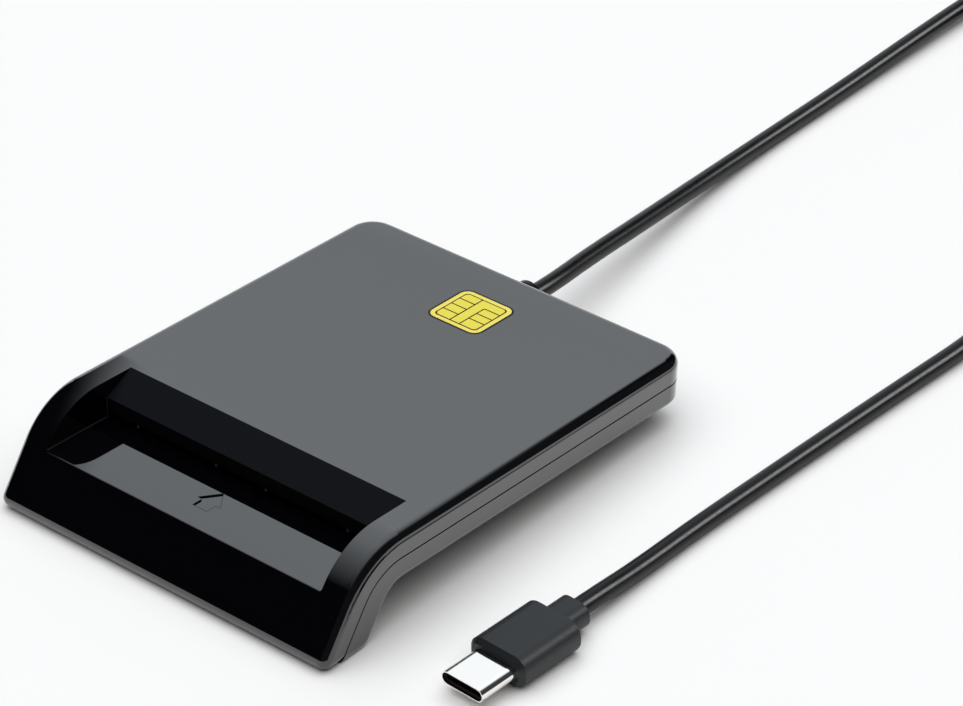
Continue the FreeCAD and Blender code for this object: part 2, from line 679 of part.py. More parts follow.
def make_contacts():
    """Contact block under the board with a slot for each of its eight springs."""
    middle_x = size("contact_offset")
    middle_y = size(f"{CARD_STOP} - contact_reach")
    roof = size(BOARD_UNDER)
    height = size("block_height")
    block = block_at((middle_x - size("block_width") / 2, middle_y - size("block_length") / 2, roof - height),
                     size("block_width"), size("block_length"), height)
    room = size("spring_clearance")
    width = size("spring_width") + 2 * room
    reach = size("spring_length")
    springs = []
    for outward in (-1, 1):
        row_y = middle_y + outward * size("contact_rows") / 2
        for column in range(4):
            x = middle_x + (column - 1.5) * size("contact_pitch")
            spring = spring_at(x, row_y, outward)
            springs.append(spring)
            low = spring.BoundBox.YMin - room
            block = block.cut(block_at((x - width / 2, low, roof - height), width, reach + 2 * room, height))
    carrier = group_piece("contact_block", [block])
    return [carrier, group_piece("contact_springs", springs)]


def make_board_parts():
    """Controller chip, crystal and a row of capacitors on top of the board, and the card switch under it."""
    chip_y = f"{BOARD_FRONT} + chip_front"
    chip = box_piece("controller_chip", "chip_side", "chip_side", "chip_height",
                     "chip_place - chip_side/2", chip_y, BOARD_TOP)
    crystal = box_piece("crystal", "crystal_width", "crystal_length", "crystal_height",
                        "chip_place + chip_side/2 + crystal_gap", chip_y, BOARD_TOP)
    side = size("part_width")
    capacitors = [
        block_at((size("chip_place") + (index - (size("part_count") - 1) / 2) * size("part_pitch") - side / 2,
                  size(f"{chip_y} + chip_side + part_gap"), size(BOARD_TOP)), side, size("part_length"), side)
        for index in range(int(size("part_count")))
    ]
    switch_y = f"{BOARD_REAR} - switch_rear - switch_width"
    switch = box_piece("card_switch", "switch_length", "switch_width", "switch_height",
                       "switch_place - switch_length/2", switch_y, f"{BOARD_UNDER} - switch_height")
    blade = box_piece("switch_blade", "blade_width", "blade_sheet",
                      f"{BOARD_UNDER} - {CARD_FACE} + blade_reach",
                      "switch_place - blade_width/2", f"{switch_y} - blade_sheet", f"{CARD_FACE} - blade_reach")
    return [chip, crystal, group_piece("chip_capacitors", capacitors), switch, blade]


def make_cord_wires():
    """Four inner wires from the strain relief to the board."""
    radius = size("wire_radius")
    start = size(f"{BOARD_REAR} - wire_lap")
    length = size(f"{CAVITY_REAR} - relief_clearance - relief_flange") - start
    height = size(f"{BOARD_TOP} + wire_clearance") + radius
    wires = [
        rod(radius, length, Vector((index - 1.5) * size("wire_pitch"), start, height), Vector(0, 1, 0))
        for index in range(4)
    ]
    return group_piece("cord_wires", wires)


# Cord routes on the desk, in the finished frame, between the reader, the coil and the plug
READER_ROUTE = [(-1.6, 62.12, 6.75), (-3.25, 78.74, 4.95), (-5.3, 98.06, 2.85), (-6.44, 119.17, 1.65),
                (-6.39, 143.17, 1.61)]
PLUG_ROUTE = [(39.71, 156.17, 2.2), (52.21, 130.17, 1.61), (59.91, 99.17, 1.6), (57.61, 63.17, 1.61), (56.21, 37.17, 1.6),
              (55.21, 17.17, 1.61), (55.16, 2.67, 1.9)]


def rounded_route(points):
    """Wire of straight runs joined by arcs as large as the shorter run allows, with its bend radii."""
    edges = []
    radii = []
    last = points[0]
    for before, corner, after in zip(points, points[1:], points[2:]):
        back = before - corner
        ahead = after - corner
        turn = math.pi - back.getAngle(ahead)
        cut = 0.45 * min(back.Length, ahead.Length)
        radii.append(cut / math.tan(turn / 2))
        enter = corner + back.normalize() * cut
        leave = corner + ahead.normalize() * cut
        centre = corner + (back + ahead).normalize() * (radii[-1] / math.cos(turn / 2))
        middle = centre + (corner - centre).normalize() * radii[-1]
        edges.append(Part.LineSegment(last, enter).toShape())
        edges.append(Part.Arc(enter, middle, leave).toShape())
        last = leave
    edges.append(Part.LineSegment(last, points[-1]).toShape())
    return Part.Wire(edges), radii


def make_tube(label, points):
    """Round cord along a route, checked against its section times its length."""
    wire, radii = rounded_route(points)
    radius = size("cord_diameter") / 2
    ring = Part.Wire([Part.Circle(points[0], points[1] - points[0], radius).toShape()])
    tube = wire.makePipeShell([ring], True, False, 2)
    expected = math.pi * radius * radius * wire.Length
    print(f"{label}: length {wire.Length:.1f} mm, volume {tube.Volume / expected:.4f} of section times length")
    print("bend radii", [round(value) for value in radii], "runs",
          [round(after.distanceToPoint(before)) for before, after in zip(points, points[1:])])
    print("points", [[round(value, 2) for value in point] for point in points])
    return group_piece(label, [tube])


def make_coil():
    """Outer shape of the wound cord with a straight lead at each end, and the tie round it."""
    radius = size("coil_radius")
    half_band = size("coil_band") / 2
    height = size("coil_height")
    room = size("tie_clearance")
    sheet_thickness = size("tie_sheet")
    lift = sheet_thickness + room
    middle = Vector(size("coil_side"), size("coil_back"), lift)
    ring = rod(radius + half_band, height, middle).cut(rod(radius - half_band, height, middle))
    ring = ring.makeChamfer(size("coil_bevel"), [edge for edge in ring.Edges if edge.isClosed()])
    cord_radius = size("cord_diameter") / 2
    turn_radius = radius + half_band - cord_radius - room
    ends = []
    for side, rise in ((-1, room + cord_radius), (1, height - room - cord_radius)):
        end = middle + Vector(side * turn_radius, -size("coil_lead"), rise)
        ring = ring.fuse(rod(cord_radius, size("coil_lead"), end, Vector(0, 1, 0)))
        ends.append(end)

    half_tie = size("tie_width") / 2
    near_side = math.sqrt((radius - half_band) ** 2 - half_tie ** 2) - room
    depth = radius + half_band + room - near_side
    inner = (middle.x - half_tie, middle.y + near_side, sheet_thickness)
    tall = height + 2 * room
    outer = (inner[0], inner[1] - sheet_thickness, 0)
    band = block_at(outer, 2 * half_tie, depth + 2 * sheet_thickness, tall + 2 * sheet_thickness)
    band = band.cut(block_at(inner, 2 * half_tie, depth, tall))
    return group_piece("cable_coil", [ring]), group_piece("coil_tie", [band]), ends


GRIP_MIDDLE = "plug_height/2"


def obround(sketch, width, height):
    """Outline with round ends, level with the middle of the plug grip."""
    radius = size(height) / 2
    reach = size(width) / 2 - radius
    level = size(GRIP_MIDDLE)
    quarter = math.pi / 2
    right = sketch.addGeometry(Part.ArcOfCircle(Part.Circle(Vector(reach, level, 0), Vector(0, 0, 1), radius),
                                                -quarter, quarter), False)
    top = sketch.addGeometry(Part.LineSegment(Vector(reach, level + radius, 0),
                                              Vector(-reach, level + radius, 0)), False)
    left = sketch.addGeometry(Part.ArcOfCircle(Part.Circle(Vector(-reach, level, 0), Vector(0, 0, 1), radius),
                                               quarter, 3 * quarter), False)
    bottom = sketch.addGeometry(Part.LineSegment(Vector(-reach, level - radius, 0),
                                                 Vector(reach, level - radius, 0)), False)
    for before, after in ((right, top), (top, left), (left, bottom), (bottom, right)):
        sketch.addConstraint(Sketcher.Constraint("Tangent", before, 2, after, 1))
    sketch.addConstraint(Sketcher.Constraint("Equal", right, left))
    sketch.addConstraint(Sketcher.Constraint("Symmetric", right, 3, left, 3, -2))
    pin_point(sketch, right, 3, f"({width})/2 - ({height})/2", GRIP_MIDDLE)
    limit = sketch.addConstraint(Sketcher.Constraint("Radius", right, radius))
    sketch.setExpression(f"Constraints[{limit}]", bind(f"({height})/2"))


def make_plug():
    """Plug that lies on the desk: moulded grip with a neck, metal shell, insert and two rows of pins."""
    grip = new_body("plug_overmould")
    block = new_sketch(grip, "GripBlock", "YZ_Plane")
    rectangle(block, "shell_length", "shell_length + plug_length", "0", "plug_height")
    solid(grip, "Pad", block, "plug_width", symmetric=True)
    round_edges(grip, "plug_round", lambda edge: edge.BoundBox.YLength > 1)
    bevel_edges(grip, "plug_rim", across_edge("shell_length", "plug_height"))
    round_edges(grip, "plug_rear_rim", across_edge("shell_length + plug_length", "plug_height"))
    neck = new_sketch(grip, "GripNeck", "YZ_Plane")
    rectangle(neck, "shell_length + plug_length", "shell_length + plug_length + neck_length",
              f"{GRIP_MIDDLE} - neck_height/2", f"{GRIP_MIDDLE} + neck_height/2")
    solid(grip, "Pad", neck, "neck_width", symmetric=True)
    for sign in "-+":
        round_edges(grip, "neck_round", along_edge("neck_width/2", f"{GRIP_MIDDLE} {sign} neck_height/2"))
    seat = new_sketch(grip, "ShellSeat", "XZ_Plane")
    obround(seat, "shell_width + 2*shell_clearance", "shell_height + 2*shell_clearance")
    solid(grip, "Pocket", seat, "shell_length + shell_seat")

    shell = new_body("plug_shell")
    tube = new_sketch(shell, "ShellTube", "XZ_Plane")
    obround(tube, "shell_width", "shell_height")
    solid(shell, "Pad", tube, "shell_length + shell_seat", backwards=True)
    bore = new_sketch(shell, "ShellBore", "XZ_Plane")
    obround(bore, "shell_width - 2*shell_sheet", "shell_height - 2*shell_sheet")
    solid(shell, "Pocket", bore, "shell_length + shell_seat")

    insert = new_body("plug_insulator")
    core = new_sketch(insert, "InsertCore", "XZ_Plane", lift="-insert_recess")
    room = "2*(shell_sheet + shell_clearance)"
    obround(core, f"shell_width - {room}", f"shell_height - {room}")
    solid(insert, "Pad", core, "shell_length + shell_seat - insert_recess", backwards=True)
    slot = new_sketch(insert, "InsertSlot", "YZ_Plane")
    rectangle(slot, "0", "insert_slot_depth",
              f"{GRIP_MIDDLE} - insert_slot_height/2", f"{GRIP_MIDDLE} + insert_slot_height/2")
    solid(insert, "Pocket", slot, "insert_slot_width", symmetric=True)

    pins = []
    count = int(size("pin_count"))
    width = size("pin_width")
    thickness = size("pin_sheet")
    lows = (size(f"{GRIP_MIDDLE} - insert_slot_height/2"), size(f"{GRIP_MIDDLE} + insert_slot_height/2 - pin_sheet"))
    for index in range(count):
        x = (index - (count - 1) / 2) * size("pin_pitch") - width / 2
        for low in lows:
            pins.append(block_at((x, size("pin_start"), low), width, size("pin_length"), thickness))
    return [grip, shell, insert, group_piece("plug_contacts", pins)]


# The reader stands on its front foot and its rear feet, and its footprint is centred on the origin
reader = [make_upper_shell(), make_lower_shell(), make_card_tray(), make_circuit_board(), make_strain_relief()]
reader += make_screws()
reader += make_contacts()
reader += make_board_parts()
reader += [make_rear_feet(), make_cord_wires()]
doc.recompute()

lean = FreeCAD.Rotation(Vector(1, 0, 0), -size("tilt"))
standing = Part.makeCompound([piece.Shape for piece in reader])
standing.Placement = FreeCAD.Placement(Vector(), lean)
outer_box = standing.optimalBoundingBox(False)
stand = FreeCAD.Placement(Vector(0, -outer_box.Center.y, 0), lean)
print(f"reader stands {outer_box.XLength:.2f} x {outer_box.YLength:.2f} x {outer_box.ZLength:.2f} mm, "
      f"lowest {outer_box.ZMin:.4f}, origin {outer_box.Center.y:.4f} behind the toe")

plug = make_plug()
turn = FreeCAD.Rotation(Vector(0, 0, 1), -size("plug_turn"))
lay = FreeCAD.Placement(Vector(size("plug_side"), -size("plug_front"), 0), turn)
doc.recompute()
for piece in plug:
    piece.Placement = lay
for piece in reader:
    piece.Placement = stand.multiply(piece.Placement)

coil, tie, coil_ends = make_coil()
relief_end = size("body_length + relief_clearance + relief_collar + relief_taper")
plug_end = size("shell_length + plug_length + neck_length")
lead = size("cord_lead")
reader_lead = [stand.multVec(Vector(0, relief_end + step, size(EXIT))) for step in (0, lead)]
plug_lead = [lay.multVec(Vector(0, plug_end + step, size(GRIP_MIDDLE))) for step in (lead, 0)]
coil_leads = [[end, end - Vector(0, size("coil_run"), 0)] for end in coil_ends]
reader_side = reader_lead + [Vector(*point) for point in READER_ROUTE] + coil_leads[0][::-1]
plug_side = coil_leads[1] + [Vector(*point) for point in PLUG_ROUTE] + plug_lead
cord = [make_tube("cable_reader_side", reader_side), coil, tie, make_tube("cable_plug_side", plug_side)]
doc.recompute()

os.makedirs("parts", exist_ok=True)
for item in doc.Objects:
    if "Invalid" in item.State or "Error" in item.State:
        raise RuntimeError(f"{item.Label} did not build")
for piece in reader + plug + cord:
    if piece.Shape.isNull() or not piece.Shape.isValid():
        raise RuntimeError(f"{piece.Label} is not a sound shape")
    piece.Shape.exportStep(f"parts/{piece.Label}.step")
    print(f"{piece.Label}: {piece.Shape.Volume:.2f} cubic mm, {len(piece.Shape.Solids)} solids")
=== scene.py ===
"""Finishes, printed symbol, cord and stage for a desktop smart card reader."""

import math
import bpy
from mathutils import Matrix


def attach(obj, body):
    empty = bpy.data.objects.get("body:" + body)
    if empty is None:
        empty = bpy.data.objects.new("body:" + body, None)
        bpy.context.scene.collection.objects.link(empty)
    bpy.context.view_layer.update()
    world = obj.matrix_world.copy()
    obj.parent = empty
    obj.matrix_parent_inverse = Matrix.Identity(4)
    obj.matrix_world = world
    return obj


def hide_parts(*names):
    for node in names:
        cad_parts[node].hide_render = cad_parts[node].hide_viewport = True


bl_info = {
    "name": "Smart card reader looks",
    "version": (1, 0, 0),
    "blender": (4, 5, 0),
    "location": "View3D > Sidebar > Card reader",
    "description": "Finishes, printed symbol, cord and stage for a desktop smart card reader",
    "category": "Object",
}

import bmesh
import bpy
from mathutils import Matrix, Vector

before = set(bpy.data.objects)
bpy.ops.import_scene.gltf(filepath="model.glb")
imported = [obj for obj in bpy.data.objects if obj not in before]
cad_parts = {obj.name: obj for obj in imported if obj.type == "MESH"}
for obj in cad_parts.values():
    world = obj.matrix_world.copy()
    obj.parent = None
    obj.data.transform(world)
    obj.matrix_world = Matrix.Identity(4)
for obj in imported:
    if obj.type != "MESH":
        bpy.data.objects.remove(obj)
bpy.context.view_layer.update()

MM = 0.001
ROOT = "root"


def linear(code):
    """Linear colour of an sRGB hex value."""
    parts = [int(code[place:place + 2], 16) / 255 for place in (1, 3, 5)]
    return tuple(part / 12.92 if part <= 0.04045 else ((part + 0.055) / 1.055) ** 2.4 for part in parts)


def length_property(name, description, millimetres):
    return bpy.props.FloatProperty(name=name, description=description, default=millimetres * MM,
                                   unit="LENGTH", subtype="DISTANCE", precision=5)


def colour_property(name, description, code):
    return bpy.props.FloatVectorProperty(name=name, description=description, default=linear(code), size=3,
                                         min=0.0, max=1.0, subtype="COLOR")


class ReaderSizes(bpy.types.PropertyGroup):
    """Sizes of what is drawn on the reader and of its cord."""

    tilt: bpy.props.FloatProperty(name="Tilt", description="Slab to the desk", default=math.radians(3.2),
                                  subtype="ANGLE", unit="ROTATION")
    toe: length_property("Toe", "Origin to the toe of the foot", 47.3831)
    top: length_property("Top", "Toe to the top face", 17.12)
    front_angle: bpy.props.FloatProperty(name="Front angle", description="Front face to the slab",
                                         default=math.radians(57.0), subtype="ANGLE", unit="ROTATION")
    shelf: length_property("Shelf", "Toe to the face of the card shelf", 10.42)
    shelf_under: length_property("Shelf underside", "Toe to the underside of the card shelf", 9.82)
    shelf_rear: length_property("Shelf rear", "Toe to the rear edge of the card shelf", 30.1)
    shelf_width: length_property("Shelf width", "Card shelf from side to side", 57.0)
    shelf_lip: length_property("Shelf lip", "Rounding of the front edge of the shelf", 0.3)
    mouth_width: length_property("Mouth width", "Card mouth from cheek to cheek", 57.4)
    mouth_rear: length_property("Mouth rear", "Toe to the rear edge of the mouth", 26.1)
    mouth_run: length_property("Mouth run", "Depth of the sloped face of the mouth", 5.5)
    mouth_fall: length_property("Mouth fall", "Fall of the sloped face of the mouth", 3.1)
    slot: length_property("Slot", "Height of the card slot", 1.2)
    lining: length_property("Lining", "Skin of the etched faces of the mouth", 0.03)
    # Beads carry painted highlight lines, and pips painted glints, in the mouth
    highlight_bead: length_property("Bead", "Bead in the corners of the mouth", 0.14)
    glint_pip: length_property("Pip", "Width of a lead-in pip over the slot", 0.46)
    pip_inner: length_property("Inner pips", "Inner lead-in pips from the middle", 5.2)
    pip_outer: length_property("Outer pips", "Outer lead-in pips from the middle", 21.9)
    symbol_place: length_property("Symbol place", "Toe to the middle of the chip symbol", 76.05)
    symbol_side: length_property("Symbol side", "Chip symbol over its outline", 11.1)
    symbol_corner: length_property("Symbol corner", "Rounding of the outline", 1.95)
    symbol_rim: length_property("Symbol rim", "Rim round the contact field", 0.8)
    symbol_line: length_property("Symbol line", "Line width of the symbol", 0.24)
    ink: length_property("Ink", "Height of one layer of print", 0.012)
    arrow_tip: length_property("Arrow tip", "Toe to the tip of the arrow", 16.6)
    arrow_length: length_property("Arrow length", "Arrow from tail to tip", 5.4)
    arrow_head: length_property("Arrow head", "Length of the arrow head", 3.4)
    arrow_width: length_property("Arrow width", "Arrow from barb to barb", 4.8)
    arrow_shaft: length_property("Arrow shaft", "Width of the arrow shaft", 2.9)
    arrow_depth: length_property("Arrow depth", "Arrow below the face of the shelf", 0.25)
    # Width of the painted highlight along the arrow's near rim
    arrow_rim_highlight: length_property("Arrow line", "Dull line along the near rim of the arrow", 0.08)
    cord_diameter: length_property("Cord diameter", "Cord over its jacket", 3.2)
    cord_length: bpy.props.FloatProperty(name="Cord length", description="Cord from the reader to the plug",
                                         default=1.0, unit="LENGTH", subtype="DISTANCE")


class ReaderColours(bpy.types.PropertyGroup):
    """Colours of the finishes."""

    shell: colour_property("Housing", "Polished black housing", "#030306")
    lining: colour_property("Lining", "Etched slope of the mouth", "#121418")
    # Darker copy of the slope's colour: painted shade on the mouth's wall
    wall: colour_property("Wall", "Etched wall of the mouth", "#040407")
    # Grey of the beads: painted highlight lines on the mouth's edges
    highlight_bead: colour_property("Bead", "Beads in the corners of the mouth", "#2E3036")
    # Pale colour of the lead-in pips: painted glints over the slot
    glint_pip: colour_property("Pip", "Lead-in pips over the slot", "#2E3035")
    # Grey along the arrow's near rim: a painted highlight on its edge
    rim_edge_highlight: colour_property("Groove", "Near rim of the arrow", "#35383B")
    rubber: colour_property("Rubber", "Rear feet", "#1B1B1C")
    jacket: colour_property("Jacket", "Cord jacket", "#030405")
    grip: colour_property("Grip", "Moulded plug grip", "#1C1F21")
    insert: colour_property("Insert", "Insert in the plug shell", "#050506")
    plate: colour_property("Plate", "Nickel plated steel", "#F4F0EC")
    zinc: colour_property("Zinc", "Zinc plated screws", "#B4B6B8")
    gold: colour_property("Gold", "Gold plated contacts", "#D8B25A")
    moulding: colour_property("Moulding", "Black inner mouldings", "#17181A")
    mask: colour_property("Mask", "Green solder mask", "#1F5A34")
    ceramic: colour_property("Ceramic", "Capacitor bodies", "#A98562")
    wire: colour_property("Wire", "Jackets of the inner wires", "#8E2A26")
    yellow: colour_property("Yellow ink", "Contact field of the symbol", "#E8DC52")
    pale: colour_property("Pale ink", "Rim of the symbol", "#F0E06A")
    line: colour_property("Line ink", "Lines of the symbol", "#1C1A0A")
    floor: colour_property("Floor", "Studio floor", "#FAFAFA")


def sizes():
    return bpy.context.scene.reader_sizes


def colours():
    return bpy.context.scene.reader_colours


def add_node(tree, kind, values, **settings):
    """Adds a node with its settings, its socket values and its links."""
    node = tree.nodes.new(kind)
    for name, value in settings.items():
        setattr(node, name, value)
    for name, value in values.items():
        if isinstance(value, bpy.types.NodeSocket):
            tree.links.new(value, node.inputs[name])
        else:
            node.inputs[name].default_value = value
    return node


def new_material(name, colour, values):
    """Material with one Principled shader, and its tree and shader for what is added to it."""
    material = bpy.data.materials.new(name)
    material.use_nodes = True
    tree = material.node_tree
    tree.nodes.clear()
    shader = add_node(tree, "ShaderNodeBsdfPrincipled", {"Base Color": (*colour, 1.0), **values})
    add_node(tree, "ShaderNodeOutputMaterial", {"Surface": shader.outputs["BSDF"]})
    return material, tree, shader


def grain(tree, shader, size_mm, low, high, bump):
    """Fine unevenness of a surface, in its roughness and in its height, at a size in millimetres."""
    place = add_node(tree, "ShaderNodeTexCoord", {})
    noise = add_node(tree, "ShaderNodeTexNoise", {
        "Vector": place.outputs["Object"], "Scale": 1 / (size_mm * MM), "Detail": 3.0, "Roughness": 0.6})
    spread = add_node(tree, "ShaderNodeMapRange", {
        "Value": noise.outputs["Fac"], "From Min": 0.3, "From Max": 0.7, "To Min": low, "To Max": high})
    tree.links.new(spread.outputs["Result"], shader.inputs["Roughness"])
    if bump:
        relief = add_node(tree, "ShaderNodeBump", {"Height": noise.outputs["Fac"], "Strength": bump,
                                                   "Distance": 0.05 * MM})
        tree.links.new(relief.outputs["Normal"], shader.inputs["Normal"])


def polished_abs(name, coat):
    """ABS moulded in a polished tool: near black, and the eye sees what its clear top layer mirrors."""
    return new_material(name, colours().shell, {
        "Roughness": 0.02, "IOR": 1.53, "Coat Weight": coat, "Coat Roughness": 0.01, "Coat IOR": 1.5})[0]


def dull_abs(name, colour):
    """ABS moulded in an etched tool: it mirrors nothing, and the eye sees the colour given to it, its own on
    the mouth's slope, painted shade on the mouth's wall, and painted highlights and glints on the beads, the
    pips and the arrow's near rim.
    """
    return new_material(name, colour, {"Roughness": 0.9, "Specular IOR Level": 0.12})[0]


def soft_rubber():
    """Rubber moulded in a blasted tool: dark and dull, with a soft grain."""
    material, tree, shader = new_material("moulded_rubber", colours().rubber, {"IOR": 1.52})
    grain(tree, shader, 0.4, 0.72, 0.9, 0.3)
    return material


def cord_jacket():
    """PVC drawn over the wires: black with a slight shine along its length."""
    material, tree, shader = new_material("drawn_PVC_jacket", colours().jacket, {"Specular IOR Level": 0.25})
    grain(tree, shader, 0.6, 0.26, 0.34, 0.0)
    return material


def satin_grip():
    """Soft plastic moulded in a finely blasted tool: dark grey, with broad dim highlights."""
    material, tree, shader = new_material("satin_moulded_TPE", colours().grip, {"Specular IOR Level": 0.4})
    grain(tree, shader, 0.25, 0.38, 0.48, 0.08)
    return material


def plug_insert():
    """Heat-proof plastic deep in the shell: it swallows the light that reaches it."""
    return new_material("moulded_plug_insert", colours().insert, {
        "Roughness": 0.7, "Specular IOR Level": 0.2})[0]


def nickel_plate():
    """Drawn steel with bright nickel: a clear pale mirror."""
    return new_material("bright_nickel_plate", colours().plate, {"Metallic": 1.0, "Roughness": 0.12})[0]


def zinc_plate():
    """Turned screws with zinc: a pale and slightly dull metal."""
    return new_material("zinc_plated_steel", colours().zinc, {"Metallic": 1.0, "Roughness": 0.34})[0]


def gold_plate():
    """Stamped strip with a thin gold plate: a warm and fairly clear metal."""
    return new_material("gold_plated_strip", colours().gold, {"Metallic": 1.0, "Roughness": 0.22})[0]


def black_moulding():
    """Glass-filled plastic as moulded: black, with a dull grain."""
    material, tree, shader = new_material("glass_filled_moulding", colours().moulding, {"IOR": 1.55})
    grain(tree, shader, 0.3, 0.45, 0.6, 0.1)
    return material


def solder_mask():
    """Board under a cured green mask: even and half shiny."""
    material, tree, shader = new_material("cured_solder_mask", colours().mask, {"IOR": 1.52})
    grain(tree, shader, 0.5, 0.3, 0.42, 0.0)
    return material


def fired_ceramic():
    """Fired ceramic bodies: tan and dull."""
    return new_material("fired_ceramic", colours().ceramic, {"Roughness": 0.6, "IOR": 1.6})[0]


def wire_jacket():
    """Thin drawn jackets of the inner wires: coloured and smooth."""
    return new_material("drawn_wire_jacket", colours().wire, {"Roughness": 0.4, "IOR": 1.5})[0]


def printed_ink(name, colour):
    """Screen-printed ink: one even colour with a low shine."""
    return new_material(name, colour, {"Roughness": 0.5, "Specular IOR Level": 0.15})[0]


def finish(node, material):
    """Gives a CAD node its finish."""
    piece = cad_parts[node]
    piece.data.materials.clear()
    piece.data.materials.append(material)


def on_reader(x, y, z):
    """Point of the reader's own frame, measured from the toe, where it stands on the desk."""
    measures = sizes()
    turn = Matrix.Rotation(-measures.tilt, 3, "X")
    return turn @ Vector((x, y, z)) - Vector((0, measures.toe, 0))


def new_piece(name, mesh, materials):
    """Mesh piece at the origin that rides on the reader."""
    piece = bpy.data.objects.new(name, mesh)
    bpy.context.collection.objects.link(piece)
    for material in materials:
        mesh.materials.append(material)
    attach(piece, ROOT)
    return piece


def rounded_square(side, corner, steps=8):
    """Corners of a square with round corners, counter-clockwise round the middle."""
    points = []
    inner = side / 2 - corner
    for quarter, (sx, sy) in enumerate(((1, 1), (-1, 1), (-1, -1), (1, -1))):
        for step in range(steps + 1):
            angle = math.pi / 2 * (quarter + step / steps)
            points.append((sx * inner + corner * math.cos(angle), sy * inner + corner * math.sin(angle)))
    return points


def add_plate(target, outline, low, high, material):
    """Closed plate between two heights, with a material's place in the list."""
    bottom = [target.verts.new((x, y, low)) for x, y in outline]
    top = [target.verts.new((x, y, high)) for x, y in outline]
    faces = [target.faces.new(top), target.faces.new(bottom[::-1])]
    count = len(outline)
    for index in range(count):
        after = (index + 1) % count
        faces.append(target.faces.new((bottom[index], bottom[after], top[after], top[index])))
    for face in faces:
        face.material_index = material


def bar_row(count, pitch, bar, material):
    """Row of equal bars from a Geometry Nodes tree, as a plain mesh."""
    tree = bpy.data.node_groups.new("bar_row", "GeometryNodeTree")
    tree.interface.new_socket("Geometry", in_out="OUTPUT", socket_type="NodeSocketGeometry")
    sockets = {}
    for name, kind in (("Count", "NodeSocketInt"), ("Pitch", "NodeSocketVector"), ("Bar", "NodeSocketVector"),
                       ("Finish", "NodeSocketMaterial")):
        sockets[name] = tree.interface.new_socket(name, in_out="INPUT", socket_type=kind).identifier
    given = add_node(tree, "NodeGroupInput", {})
    line = add_node(tree, "GeometryNodeMeshLine", {"Count": given.outputs["Count"],
                                                   "Offset": given.outputs["Pitch"]})
    cube = add_node(tree, "GeometryNodeMeshCube", {"Size": given.outputs["Bar"]})
    row = add_node(tree, "GeometryNodeInstanceOnPoints", {"Points": line.outputs["Mesh"],
                                                          "Instance": cube.outputs["Mesh"]})
    real = add_node(tree, "GeometryNodeRealizeInstances", {"Geometry": row.outputs["Instances"]})
    finished = add_node(tree, "GeometryNodeSetMaterial", {"Geometry": real.outputs["Geometry"],
                                                          "Material": given.outputs["Finish"]})
    add_node(tree, "NodeGroupOutput", {"Geometry": finished.outputs["Geometry"]})

    holder = bpy.data.objects.new("bar_row", bpy.data.meshes.new("bar_row"))
    bpy.context.collection.objects.link(holder)
    rule = holder.modifiers.new("bar_row", "NODES")
    rule.node_group = tree
    for name, value in (("Count", count), ("Pitch", pitch), ("Bar", bar), ("Finish", material)):
        rule[sockets[name]] = value
    bpy.context.view_layer.update()
    evaluated = holder.evaluated_get(bpy.context.evaluated_depsgraph_get())
    mesh = bpy.data.meshes.new_from_object(evaluated)
    holder.modifiers.clear()
    bpy.data.objects.remove(holder)
    return mesh


def add_bars(target, count, pitch, bar, first, material, place):
    """Adds a row of bars to a shape, with the first one's middle and the material's place in the list."""
    mesh = bar_row(count, pitch, bar, material)
    mesh.transform(Matrix.Translation(first))
    known = len(target.faces)
    target.from_mesh(mesh)
    target.faces.ensure_lookup_table()
    for face in target.faces[known:]:
        face.material_index = place
    bpy.data.meshes.remove(mesh)


def settle(shape, name, materials):
    """Stands a shape of the reader's own frame on the desk as a piece."""
    for vertex in shape.verts:
        vertex.co = on_reader(*vertex.co)
    mesh = bpy.data.meshes.new(name)
    shape.to_mesh(mesh)
    shape.free()
    return new_piece(name, mesh, materials)


class READER_OT_housing(bpy.types.Operator):
    """Polishes the two shells and finishes the feet and screws"""

    bl_idname = "reader.housing"
    bl_label = "Housing"

    def execute(self, context):
        shell = polished_abs("polished_moulded_ABS", 1.0)
        for node in ("upper_shell", "lower_shell"):
            finish(node, shell)
        finish("rear_feet", soft_rubber())
        finish("housing_screws", zinc_plate())
        return {"FINISHED"}


LIP_STEPS = 6


